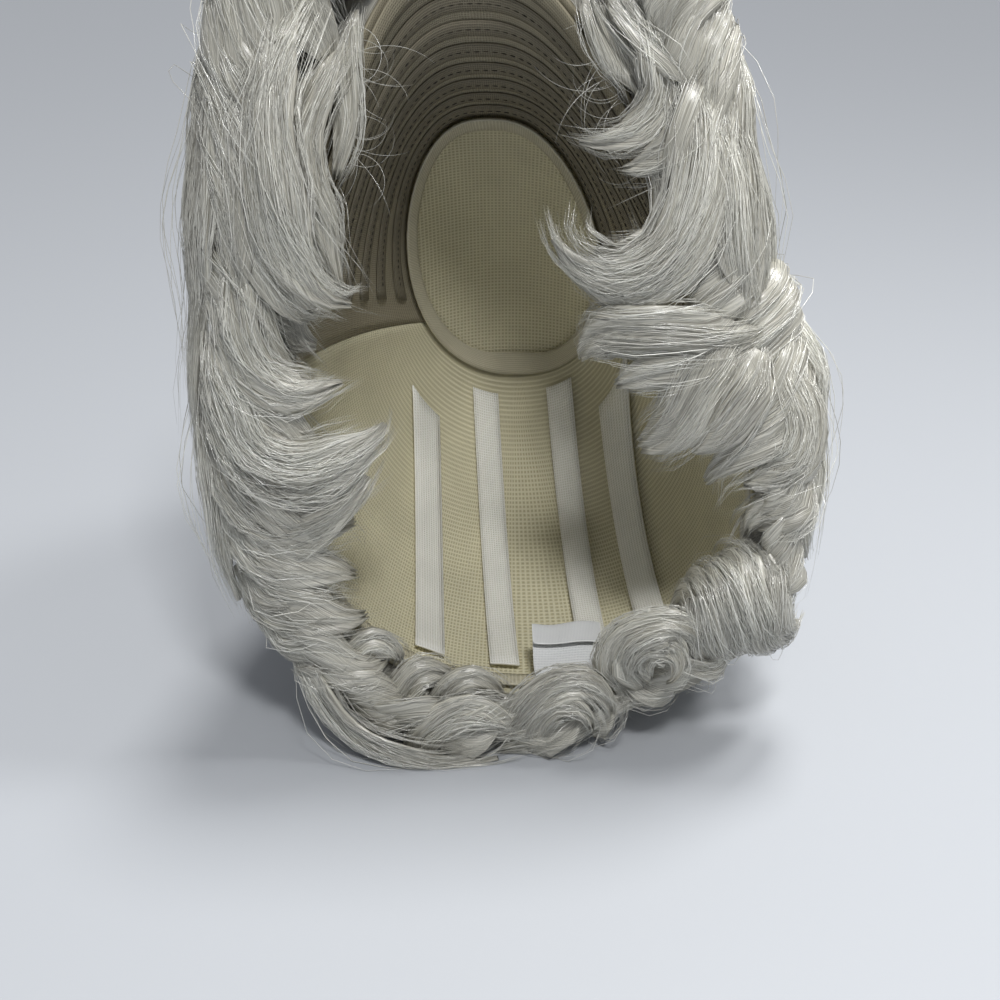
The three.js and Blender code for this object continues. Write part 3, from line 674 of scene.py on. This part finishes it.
print("locks combed back from the front")
combed = {"levels": (0.04, 0.2, 0.36, 0.5), "aside": (-15, -5, 6, 16), "jitter": 3, "stagger": 0.03,
          "long": 78, "points": 14, "wide": 21, "tip": 0.4, "part": 0.9, "sway": 0.45, "perArea": 0.034}
for row, v in enumerate(combed["levels"]):
    for column, aside in enumerate(combed["aside"]):
        t = np.linspace(0, 1, combed["points"])
        parted = combed["part"] * np.sign(aside) * ease((t - 0.4) / 0.6)
        heading = math.pi / 2 + parted + combed["sway"] * np.sin(5 * t + 2 * row + column)
        start = 180 + aside + draw.uniform(-combed["jitter"], combed["jitter"])
        level = v + combed["stagger"] * (column % 2)
        theta, level = wander(start, level, heading, combed["long"] / combed["points"])
        rise = np.interp(np.linspace(0, 1, len(theta)), [0, 0.25, 0.7, 1], [0.6, 1.02, 1.06, 0.85])
        headLock(theta, level, depthAt(theta, level) * rise, combed, "topLocks")

print("crown whorl")
whorl = {"count": 14, "inner": 0.985, "outer": (0.64, 0.69), "wide": 19, "tip": 0.4, "turn": 80,
         "perArea": 0.036}
for k in range(whorl["count"]):
    t = np.linspace(0, 1, 8)
    theta = 360 * k / whorl["count"] - whorl["turn"] * t ** 0.8 + 6 * np.sin(5 * t + 2 * k)
    level = mix(whorl["inner"], whorl["outer"][k % 2], t)
    rise = np.interp(t, [0, 0.3, 0.75, 1], [0.85, 1.02, 1.02 + 0.04 * (k % 3), 0.8])
    headLock(theta, level, depthAt(theta, level) * rise, whorl)

print("locks folded over the edge")
# root, over the edge, fold, tip: degrees; out, reach, rise: mm; hook: degrees; wide: mm
edgeLocks = (
    (166, 172, 184, 190, 32, -3, 12, 20, 36),
    (174, 182, 194, 199, 31, -3, 12, 20, 34),
    (180, 192, 204, 208, 34, -3, 12, 20, 36),
    (166, 160, 152, 148, 34, -5, 11, 15, 34),
    (160, 152, 140, 136, 41, -9, 15, 10, 34),
    (150, 142, 127, 122, 37, -1, 15, 15, 28),
    (146, 134, 113, 123, 28, 15, 19, 30, 26),
    (122, 114, 102, 99, 21, 20, 17, 12, 26),
    (112, 104, 93, 90, 25, 24, 15, 20, 26),
    (102, 94, 80, 76, 23, 18, 15, 20, 26),
    (90, 80, 68, 64, 17, 3, 13, 25, 26),
    (76, 67, 57, 52, 14, -1, 12, 30, 26),
    (64, 55, 42, 36, 8, 5, 9, 40, 26),
    (50, 42, 28, 20, 6, 8, 8, 40, 24),
    (36, 28, 16, 10, 6, 6, 8, 50, 24),
    (-8, 0, 10, 15, 9, 2, 9, 40, 26),
    (-18, -9, 4, 10, 16, 0, 12, 30, 32),
    (-36, -23, -6, 2, 19, -4, 13, 20, 32),
    (-46, -35, -20, -14, 19, -4, 13, 25, 32),
    (-56, -46, -33, -27, 17, 3, 14, 30, 28),
    (-68, -58, -45, -40, 16, 10, 15, 30, 26),
    (-80, -70, -57, -50, 18, 15, 16, 35, 26),
    (-94, -84, -68, -60, 22, 20, 18, 45, 26),
    (-107, -97, -80, -72, 25, 20, 18, 45, 26),
    (-122, -110, -94, -90, 29, 10, 16, 30, 26),
    (-146, -132, -105, -110, 37, 10, 18, 30, 28),
    (-152, -138, -118, -114, 41, -1, 15, 20, 30),
    (-164, -150, -130, -126, 47, -2, 15, 20, 34),
    (-176, -162, -142, -138, 45, -2, 13, 20, 36),
)
edgeMake = {"rootAt": 0.42, "headShare": 0.36, "rootOut": 0.4, "leastOut": 7, "shrink": 0.16, "tip": 0.4,
            "domeWide": 0.2, "domeOut": 0.25, "points": 120, "perArea": 0.0125}


# line of a lock from the head over the edge of the cap and into the opening
def edgeLine(row):
    root, over, fold, tip, out, reach, rise, hook = row[:-1]
    s = np.linspace(0, 1, edgeMake["points"])
    headShare = edgeMake["headShare"]
    q = np.clip(s / headShare, 0, 1)
    turn = np.clip((s - headShare) / (1 - headShare), 0, 1) * (180 + hook)
    theta = mix(root, over, q) + (fold - over) * ease(turn / 165)
    theta = theta + (tip - fold) * ease((turn - 140) / (40 + hook))
    v = edgeMake["rootAt"] * (1 - q)
    normal = unit(mix(capNormal(theta, v), edgeOut(theta), ease(q)[..., None]))
    least = edgeMake["leastOut"]
    height = mix(max(edgeMake["rootOut"] * out, least), max(out, least), ease(q))
    head = capPoint(theta, v) + normal * height[..., None]
    centre, half = (out - reach) / 2, (out + reach) / 2
    shrink = 1 - edgeMake["shrink"] * ease((turn - 150) / 90)
    swing = np.radians(turn)
    curl = capPoint(theta, 0) + edgeOut(theta) * (centre + half * shrink * np.cos(swing))[..., None]
    curl[..., 1] -= rise * shrink * np.sin(swing)
    facing = edgeOut(theta) * np.cos(swing)[..., None]
    facing[..., 1] -= np.sin(swing)
    onHead = (s < headShare)[..., None]
    middle = np.where(onHead, head, curl)
    outward = np.where(onHead, normal, facing)
    return settle(middle), unit(settle(middle + 10 * outward) - settle(middle))


for row in edgeLocks:
    over, out, wide = row[1], row[4], row[-1]
    dome = min(edgeMake["domeWide"] * wide, edgeMake["domeOut"] * out)
    lock = {"wide": wide, "tip": edgeMake["tip"], "dome": dome}
    growLock(sectionOf(over), lockLine(*edgeLine(row)), lock, edgeMake["perArea"])

print("front locks")
# the camera: degrees down, metres from the opening, mm of lens
view = {"elevation": 28, "distance": 0.455, "right": -0.003, "up": -0.043, "lens": 54, "sensor": 36,
        "pixels": 1000}
tilt = math.radians(view["elevation"])
ahead = Vector((0, math.cos(tilt), -math.sin(tilt)))
upward = Vector((0, math.sin(tilt), math.cos(tilt)))
mouth = Vector((0, lie["forward"] * mm, lie["lift"] * mm))
eye = mouth + Vector((view["right"], 0, 0)) + upward * view["up"] - ahead * view["distance"]
focal = view["lens"] / view["sensor"] * view["pixels"]

# lines of the locks that show round the opening: pixels across and down, mm in front of the opening
frontLocks = {  # mm wide, shares of that at the root and the tip, line
    "leftOuter": (20, 0.5, 0.8, (
        (216, -20, 0), (198, 70, 4), (192, 150, 6), (184, 230, 4), (192, 310, 2), (187, 390, 0),
        (200, 470, 0))),
    "leftOuterLow": (22, 0.5, 0.5, (
        (190, 350, -2), (196, 430, 0), (203, 500, 0), (222, 570, -2), (250, 630, -4))),
    "leftMid": (22, 0.5, 0.6, (
        (262, -10, 10), (232, 90, 14), (225, 180, 16), (232, 270, 16), (252, 340, 14))),
    "leftHook": (22, 0.5, 0.3, (
        (300, -10, 12), (262, 80, 18), (258, 170, 22), (275, 240, 22), (318, 290, 18), (355, 304, 12),
        (376, 292, 8))),
    "leftInner": (14, 0.5, 0.3, (
        (345, 40, 8), (308, 110, 14), (302, 180, 16), (322, 240, 14), (346, 290, 10), (352, 306, 8))),
    "leftFringe": (9, 0.3, 1.2, ((356, 0, 2), (348, 70, 6), (340, 135, 8), (333, 205, 6))),
    "leftCurlHigh": (18, 0.5, 0.3, (
        (225, 230, 10), (228, 310, 16), (252, 375, 20), (298, 402, 20), (338, 390, 14), (362, 368, 8))),
    "leftBarrel": (24, 0.5, 0.35, (
        (205, 330, 8), (212, 400, 14), (245, 455, 20), (310, 475, 22), (362, 458, 18), (388, 428, 10),
        (374, 398, 2))),
    "leftBarrelLow": (20, 0.5, 0.4, (
        (206, 440, 6), (222, 500, 12), (265, 535, 16), (320, 522, 18), (365, 492, 12), (386, 455, 4))),
    "leftLow": (18, 0.5, 0.3, (
        (215, 500, 2), (240, 560, 10), (275, 580, 14), (315, 580, 12), (345, 566, 6))),
    "leftLowCurl": (20, 0.5, 0.4, (
        (228, 560, 0), (255, 610, 8), (300, 622, 12), (338, 610, 8), (355, 590, 2))),
    "leftFoot": (20, 0.5, 0.4, (
        (245, 600, -2), (280, 650, 6), (325, 655, 10), (358, 640, 4), (372, 622, -2))),
    "leftFootInner": (14, 0.5, 0.4, ((290, 670, 4), (325, 690, 10), (352, 678, 8), (360, 655, 2))),
    "napeCurl": (13, 0.5, 0.5, (
        (374, 738, 4), (392, 702, 8), (418, 676, 9), (446, 680, 5), (452, 702, 0))),
    "napeWisp": (12, 0.5, 0.5, (
        (340, 706, 2), (352, 672, 8), (374, 648, 9), (400, 653, 5), (404, 676, 0))),
    "napeCurlMid": (12, 0.5, 0.5, (
        (432, 746, 4), (446, 708, 8), (470, 688, 10), (498, 694, 6), (506, 716, 2))),
    "hemSweep": (20, 0.5, 0.35, (
        (284, 630, 0), (310, 696, 8), (355, 746, 12), (415, 771, 14), (475, 768, 14), (535, 748, 10))),
    "hemFill": (24, 0.5, 0.6, (
        (290, 620, -4), (330, 690, 2), (390, 726, 6), (450, 732, 6), (515, 730, 4))),
    "hemFillRight": (20, 0.5, 0.4, ((505, 738, 0), (560, 724, 2), (610, 698, 0), (655, 670, -4))),
    "hemRoll": (17, 0.5, 0.5, (
        (418, 778, 8), (432, 748, 13), (468, 722, 15), (508, 724, 13), (522, 748, 8))),
    "hemArch": (15, 0.5, 0.6, (
        (512, 760, 4), (516, 726, 12), (542, 696, 16), (580, 690, 16), (606, 708, 12), (614, 735, 4))),
    "hemArchInner": (11, 0.5, 0.5, (
        (532, 756, 8), (538, 730, 14), (560, 714, 17), (584, 722, 15), (592, 742, 8))),
    "hemFrizz": (13, 0.5, 0.4, (
        (490, 756, 8), (550, 744, 10), (602, 722, 8), (640, 694, 4), (668, 672, 0))),
    "spiralOuter": (15, 0.5, 0.5, (
        (634, 704, 2), (616, 674, 12), (632, 638, 18), (670, 622, 19), (704, 638, 15), (708, 668, 6))),
    "spiralCore": (8, 0.5, 0.5, (
        (650, 688, 10), (645, 668, 16), (658, 656, 19), (672, 665, 18), (667, 680, 16), (655, 678, 15))),
    "spiralInner": (12, 0.5, 0.4, (
        (644, 698, 6), (630, 672, 15), (646, 648, 19), (676, 646, 18), (688, 666, 14), (672, 686, 10))),
    "rightSmall": (14, 0.5, 0.5, (
        (812, 560, -2), (800, 530, 6), (775, 515, 10), (750, 525, 8), (738, 545, 2))),
    "fluffInner": (22, 0.5, 0.9, (
        (735, 330, 18), (705, 375, 20), (675, 415, 18), (645, 440, 10), (625, 450, 4))),
    "fluffMid": (22, 0.5, 0.9, ((765, 345, 16), (740, 395, 20), (712, 440, 18), (680, 462, 12))),
    "fluffOuter": (20, 0.5, 0.5, (
        (790, 360, 10), (812, 420, 12), (800, 470, 14), (760, 488, 12), (722, 484, 8))),
    "rightSweep": (20, 0.5, 0.5, (
        (770, 330, 14), (710, 345, 20), (640, 342, 20), (592, 335, 14), (576, 352, 8), (590, 378, 2))),
    "rightSweepLow": (16, 0.5, 0.6, ((745, 365, 14), (690, 372, 18), (635, 375, 16), (598, 385, 10))),
    "rightHook": (22, 0.5, 0.8, (
        (690, 40, 10), (712, 120, 16), (712, 195, 20), (680, 255, 22), (620, 284, 20), (570, 270, 14),
        (548, 240, 9), (547, 205, 5))),
    "rightHookInner": (12, 0.5, 0.6, (
        (660, 130, 10), (670, 190, 14), (650, 240, 16), (610, 255, 14), (575, 250, 8))),
    "rightOuter": (20, 0.5, 0.6, (
        (715, -10, 0), (748, 80, 4), (752, 150, 8), (768, 220, 6), (772, 290, 2), (790, 340, 0))),
    "rightMid": (22, 0.5, 0.5, (
        (700, 60, 8), (735, 150, 14), (752, 230, 16), (752, 300, 14), (735, 350, 10))),
    "rightStreak": (14, 0.5, 0.4, (
        (640, -10, 6), (668, 50, 12), (668, 95, 14), (635, 128, 14), (590, 143, 10), (556, 140, 6))),
    "rightStreakLow": (14, 0.5, 0.6, (
        (672, 60, 10), (690, 115, 14), (672, 155, 16), (635, 175, 12), (605, 172, 8))),
    "rightTop": (22, 0.5, 0.6, ((610, -40, 2), (655, 10, 8), (705, 60, 10), (738, 120, 8))),
    "rightLow": (22, 0.8, 0.35, (
        (790, 300, -6), (826, 360, -8), (824, 425, -8), (824, 485, -8), (810, 540, -6), (784, 594, -4))),
    "rightLowInner": (22, 0.8, 0.35, (
        (770, 300, -2), (806, 380, -2), (800, 450, -2), (804, 520, -2), (776, 574, -2))),
    "rightFill": (16, 0.5, 0.5, ((808, 480, -4), (782, 512, 0), (758, 540, 3), (752, 572, 2))),
    "rightBrow": (16, 0.5, 0.5, ((590, -30, 2), (616, 20, 6), (638, 70, 8), (650, 115, 8))),
    "leftFill": (22, 0.5, 0.5, ((232, 250, 0), (258, 308, 4), (296, 344, 5), (332, 350, 2))),
}
# fibres per square mm, and mm behind the edge of the cap from which the locks face outwards
frontMake = {"perArea": 0.09, "points": 160, "coreMm": 12}
rim = capPoint(np.arange(360.0), 0)
rimLine = settle(rim)
rimCore = settle(rim + np.array([0, frontMake["coreMm"], 0]))

# from a pixel and a distance in front of the opening to a place on the table's frame, in metres
def seenAt(across, down, stand):
    centre = view["pixels"] / 2
    right = np.array([1, 0, 0]) * (across - centre) / focal
    ray = np.array(ahead) + right + np.array(upward) * (centre - down) / focal
    tip = math.radians(lie["tip"])
    inward = np.array([0, math.cos(tip), -math.sin(tip)])
    reach = (-stand * mm - np.dot(np.array(eye) - np.array(mouth), inward)) / np.dot(ray, inward)
    return np.array(eye) + ray * reach


def frontLock(lock, line):
    middle = through([seenAt(*place) for place in line], frontMake["points"])
    nearest = np.argmin(np.linalg.norm(middle[:, None] - rimLine[None], axis=2), axis=1)
    turn = fromNape(nearest[len(nearest) // 2])
    section = "hemLocks" if abs(turn) < spans["napeHair"][1] else "rightLocks" if turn > 0 else "leftLocks"
    growLock(section, lockLine(middle, unit(middle - rimCore[nearest])), lock, frontMake["perArea"])


for wide, root, tip, line in frontLocks.values():
    frontLock({"wide": wide, "root": root, "tip": tip}, line)

# hair rolled over the edge in a barrel: pixels along its middle, mm of radius, degrees round it
barrel = {"middle": ((690, 630, 4), (718, 614, 7), (750, 606, 8), (782, 606, 5)), "radius": 12.8,
          "ends": 0.72, "count": 8, "wide": 15, "root": 0.9, "tip": 0.7, "flick": 0, "slant": 24,
          "turns": (-160, -110, -60, -10, 40, 90, 140, 200), "pixelsPerMm": 3.3}
turns = np.radians(barrel["turns"])
for k, (across, down, stand) in enumerate(through(barrel["middle"], barrel["count"])):
    size = barrel["radius"] * mix(1, barrel["ends"], abs(2 * k / (barrel["count"] - 1) - 1) ** 3)
    line = np.stack([across - barrel["slant"] * turns / math.pi,
                     down - barrel["pixelsPerMm"] * size * np.sin(turns), stand + size * np.cos(turns)], 1)
    frontLock(barrel, line)

# loose frizz over the edge of the front panel: pixels across and down, from the locks inwards
frizz = {
    "leftLocks": {"from": (346, 20), "to": (334, 205), "heading": 55, "count": 30},
    "rightLocks": {"from": (606, 5), "to": (650, 150), "heading": 125, "count": 26},
}
frizzMake = {"turn": (30, 190), "spread": 30, "points": 12, "step": (4, 9), "foot": 3, "stand": (4, 14),
             "rings": 18, "radius": 0.08, "tone": (0.6, 0.15)}
for section, threads in frizz.items():
    paths = []
    for _ in range(threads["count"]):
        start = mix(np.array(threads["from"]), np.array(threads["to"]), draw.uniform(0, 1))
        turn = draw.uniform(*frizzMake["turn"]) * draw.choice([-1, 1])
        aim = threads["heading"] + draw.normal(0, frizzMake["spread"])
        heading = np.radians(aim + turn * np.linspace(-0.3, 0.7, frizzMake["points"]))
        steps = draw.uniform(*frizzMake["step"]) * np.stack([np.cos(heading), np.sin(heading)], 1)
        line = start + np.cumsum(steps, axis=0)
        stand = np.linspace(frizzMake["foot"], draw.uniform(*frizzMake["stand"]), len(line))
        places = [seenAt(x, y, z) for (x, y), z in zip(line, stand)]
        paths.append(through(places, frizzMake["rings"]))
    tone = draw.normal(*frizzMake["tone"], threads["count"])
    addFibres(section, np.array(paths), tone, frizzMake["radius"])

print("locks laid over the left side")
# degrees from the nape and level where each starts, and mm of a step
sideLocks = {"starts": ((-130, 0.17), (-114, 0.1), (-94, 0.21), (-76, 0.12)), "rise": 1.1, "step": 5.6,
             "sway": 0.3, "curl": 70}
for start, v in sideLocks["starts"]:
    t = np.linspace(0, 1, falling["points"])
    bend = math.radians(sideLocks["curl"]) * ease((t - 0.6) / 0.4)
    heading = sideLocks["sway"] * np.sin(5 * t + start) + bend
    theta, level = wander(start, v, heading, sideLocks["step"])
    headLock(theta, level, depthAt(theta, level) * sideLocks["rise"], falling)


def meshFromArrays(name, tuft):
    verts = np.concatenate(tuft["verts"])
    quads, tris = np.concatenate(tuft["quads"]), np.concatenate(tuft["tris"])
    kinds = np.concatenate([np.concatenate(tuft["kinds"]), np.zeros(len(tris), int)])
    mesh = bpy.data.meshes.new(name)
    mesh.vertices.add(len(verts))
    mesh.vertices.foreach_set("co", verts.astype(np.float32).ravel())
    loops = np.concatenate([quads.ravel(), tris.ravel()])
    mesh.loops.add(len(loops))
    mesh.loops.foreach_set("vertex_index", loops.astype(np.int32))
    starts = np.concatenate([np.arange(len(quads)) * 4, len(quads) * 4 + np.arange(len(tris)) * 3])
    mesh.polygons.add(len(starts))
    mesh.polygons.foreach_set("loop_start", starts.astype(np.int32))
    mesh.polygons.foreach_set("material_index", kinds.astype(np.int32))
    mesh.polygons.foreach_set("use_smooth", np.ones(len(starts), bool))
    laid = mesh.uv_layers.new(name="lay")
    laid.data.foreach_set("uv", np.concatenate(tuft["lays"])[loops].astype(np.float32).ravel())
    tone = mesh.attributes.new("tone", "FLOAT", "POINT")
    tone.data.foreach_set("value", np.concatenate(tuft["tones"]).astype(np.float32))
    mesh.update(calc_edges=True)
    mesh.validate()
    return mesh, len(quads) * 2 + len(tris)


for name, tuft in sections.items():
    mesh, triangles = meshFromArrays(name, tuft)
    isThread = name == "weftStitches"
    for material in [cottonThread] if isThread else [fibre, shadedFibreMass]:
        mesh.materials.append(material)
    piece = addObject(name, mesh)
    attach(piece, "root")
    if name in hairNodes:
        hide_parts(hairNodes[name])
    print(name, "triangles", triangles)

print("table, light and camera")
table = {"size": 3.0, "colour": "#b0b3b7", "roughness": 0.55}
bm = bmesh.new()
bmesh.ops.create_grid(bm, x_segments=1, y_segments=1, size=table["size"])
mesh = bpy.data.meshes.new("table")
bm.to_mesh(mesh)
bm.free()
tableTop = addObject("table", mesh)
paint, tree, shader = newMaterial("paleTableTop")  # painted board with a soft sheen
setNode(tree, shader, {"Base Color": linear(table["colour"]), "Roughness": table["roughness"]})
mesh.materials.append(paint)

room = {"colour": "#eef2fa", "strength": 0.33}
world = bpy.data.worlds.new("studio")
bpy.context.scene.world = world
world.use_nodes = True
background = {"Color": linear(room["colour"]), "Strength": room["strength"]}
setNode(world.node_tree, world.node_tree.nodes["Background"], background)
lampsFace = Vector((0, 0, 0.1))
lamps = {
    "overhead": {"kind": "SUN", "at": (0.14, 0.3, 1.15), "energy": 1.75, "angle": 14},
    "front": {"kind": "AREA", "at": (0.13, -0.6, 1.05), "energy": 6.8, "size": 0.18},
    "side": {"kind": "AREA", "at": (0.38, 0.02, 0.7), "energy": 2.5, "size": 0.14},
}
for name, lamp in lamps.items():
    light = bpy.data.lights.new(name, lamp["kind"])
    light.energy = lamp["energy"]
    if lamp["kind"] == "SUN":
        light.angle = math.radians(lamp["angle"])
    else:
        light.size = lamp["size"]
    holder = addObject(name, light)
    holder.location = lamp["at"]
    holder.rotation_euler = (lampsFace - Vector(lamp["at"])).to_track_quat("-Z", "Y").to_euler()

camera = bpy.data.cameras.new("camera")
camera.lens = view["lens"]
camera.sensor_width = view["sensor"]
cameraHolder = addObject("camera", camera)
cameraHolder.location = eye
cameraHolder.rotation_euler = ahead.to_track_quat("-Z", "Y").to_euler()
bpy.context.scene.camera = cameraHolder
bpy.context.scene.view_settings.view_transform = "Standard"
